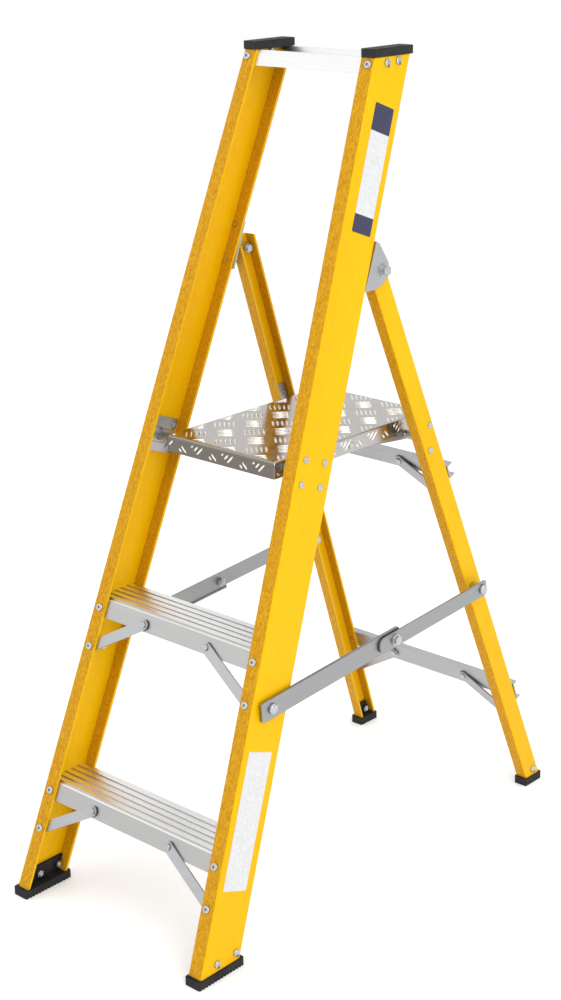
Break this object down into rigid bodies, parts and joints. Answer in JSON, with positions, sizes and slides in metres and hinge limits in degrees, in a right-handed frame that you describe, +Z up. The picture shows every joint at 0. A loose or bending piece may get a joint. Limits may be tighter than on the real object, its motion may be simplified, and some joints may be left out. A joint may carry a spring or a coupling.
{
  "type": "platform step ladder",
  "caption": "Folding glass-fibre platform step ladder with ribbed treads, a checker-plate platform, a top rail, side stays and rubber feet.",
  "frame": {"origin": "on the floor under the middle of the open ladder, soles at z = 0", "axes": "+Z up, +Y towards the rear frame, +X to the right of someone facing the steps"},
  "size_m": [0.3696, 0.7774, 1.1501],
  "materials": {
    "fibreglass": "glass-fibre pultrusion, yellow, satin",
    "tread_aluminium": "extruded, fine lines",
    "aluminium": "mill finish",
    "checker_plate": "bright five-bar tread plate",
    "zinc": "zinc plated",
    "black_plastic": "moulded",
    "rubber": "moulded, ribbed",
    "label": "plain film sticker"
  },
  "bodies": {
    "front_frame": {"bracket_rivets": "zinc", "flange_screws": "zinc", "front_foot_bolts": "zinc", "front_foot_left": "rubber", "front_foot_right": "rubber", "front_stile_left": "fibreglass", "front_stile_right": "fibreglass", "hinge_bolt_left": "zinc", "hinge_bolt_right": "zinc", "hinge_gusset_left": "aluminium", "hinge_gusset_right": "aluminium", "hinge_rivets": "zinc", "label_lower": "label", "label_upper": "label", "platform_bracket_left": "aluminium", "platform_bracket_right": "aluminium", "platform_pivot_bolts": "zinc", "rail_bolts": "zinc", "stay_front_bolts": "zinc", "top_cap_left": "black_plastic", "top_cap_right": "black_plastic", "top_rail": "tread_aluminium", "tread_brace_lower_left": "aluminium", "tread_brace_lower_right": "aluminium", "tread_brace_middle_left": "aluminium", "tread_brace_middle_right": "aluminium", "tread_brace_rivets": "zinc", "tread_lower": "tread_aluminium", "tread_middle": "tread_aluminium"},
    "rear_frame": {"rear_brace_lower": "aluminium", "rear_brace_upper": "aluminium", "rear_diagonal_lower_left": "aluminium", "rear_diagonal_lower_right": "aluminium", "rear_diagonal_upper_left": "aluminium", "rear_diagonal_upper_right": "aluminium", "rear_foot_bolts": "zinc", "rear_foot_left": "rubber", "rear_foot_right": "rubber", "rear_frame_rivets": "zinc", "rear_stile_left": "fibreglass", "rear_stile_right": "fibreglass", "rest_bracket_left": "aluminium", "rest_bracket_right": "aluminium", "rest_bracket_rivets": "zinc", "stay_rear_bolts": "zinc"},
    "platform": {"platform_tray": "checker_plate", "platform_stiffener": "aluminium", "lifting_link_pins": "zinc"},
    "lifting_link_left": {"lifting_link_left": "aluminium"},
    "stay_arm_left": {"stay_arm_left": "aluminium", "stay_middle_nut_left": "zinc"},
    "stay_bar_left": {"stay_bar_left": "aluminium", "stay_middle_bolt_left": "zinc"},
    "lifting_link_right": {"lifting_link_right": "aluminium"},
    "stay_arm_right": {"stay_arm_right": "aluminium", "stay_middle_nut_right": "zinc"},
    "stay_bar_right": {"stay_bar_right": "aluminium", "stay_middle_bolt_right": "zinc"}
  },
  "joints": [
    {"name": "rear_fold", "type": "hinge", "parent": "front_frame", "child": "rear_frame", "pos_m": [0, 0.0478, 0.866], "axis": [-1, 0, 0], "range_deg": [0, 41.78]},
    {"name": "platform_lift", "type": "hinge", "parent": "front_frame", "child": "platform", "pos_m": [0, -0.1142, 0.6264], "axis": [1, 0, 0], "range_deg": [0, 59.71]},
    {"name": "lifting_link_left_turn", "type": "hinge", "parent": "platform", "child": "lifting_link_left", "pos_m": [0, 0.0168, 0.6244], "axis": [-1, 0, 0], "range_deg": [0, 146.9]},
    {"name": "stay_arm_left_turn", "type": "hinge", "parent": "front_frame", "child": "stay_arm_left", "pos_m": [0, -0.2243, 0.3385], "axis": [1, 0, 0], "range_deg": [0, 70.3]},
    {"name": "stay_bar_left_turn", "type": "hinge", "parent": "rear_frame", "child": "stay_bar_left", "pos_m": [0, 0.2276, 0.3688], "axis": [-1, 0, 0], "range_deg": [0, 50.23]},
    {"name": "lifting_link_right_turn", "type": "hinge", "parent": "platform", "child": "lifting_link_right", "pos_m": [0, 0.0168, 0.6244], "axis": [-1, 0, 0], "range_deg": [0, 146.9]},
    {"name": "stay_arm_right_turn", "type": "hinge", "parent": "front_frame", "child": "stay_arm_right", "pos_m": [0, -0.2243, 0.3385], "axis": [1, 0, 0], "range_deg": [0, 70.3]},
    {"name": "stay_bar_right_turn", "type": "hinge", "parent": "rear_frame", "child": "stay_bar_right", "pos_m": [0, 0.2276, 0.3688], "axis": [-1, 0, 0], "range_deg": [0, 50.23]}
  ],
  "couplings": [
    {"joint": "platform_lift", "follows": "rear_fold", "ratio": 1.4285},
    {"joint": "lifting_link_left_turn", "follows": "rear_fold", "ratio": 3.5152},
    {"joint": "stay_arm_left_turn", "follows": "rear_fold", "ratio": 1.682},
    {"joint": "stay_bar_left_turn", "follows": "rear_fold", "ratio": 1.2016},
    {"joint": "lifting_link_right_turn", "follows": "rear_fold", "ratio": 3.5152},
    {"joint": "stay_arm_right_turn", "follows": "rear_fold", "ratio": 1.682},
    {"joint": "stay_bar_right_turn", "follows": "rear_fold", "ratio": 1.2016}
  ]
}
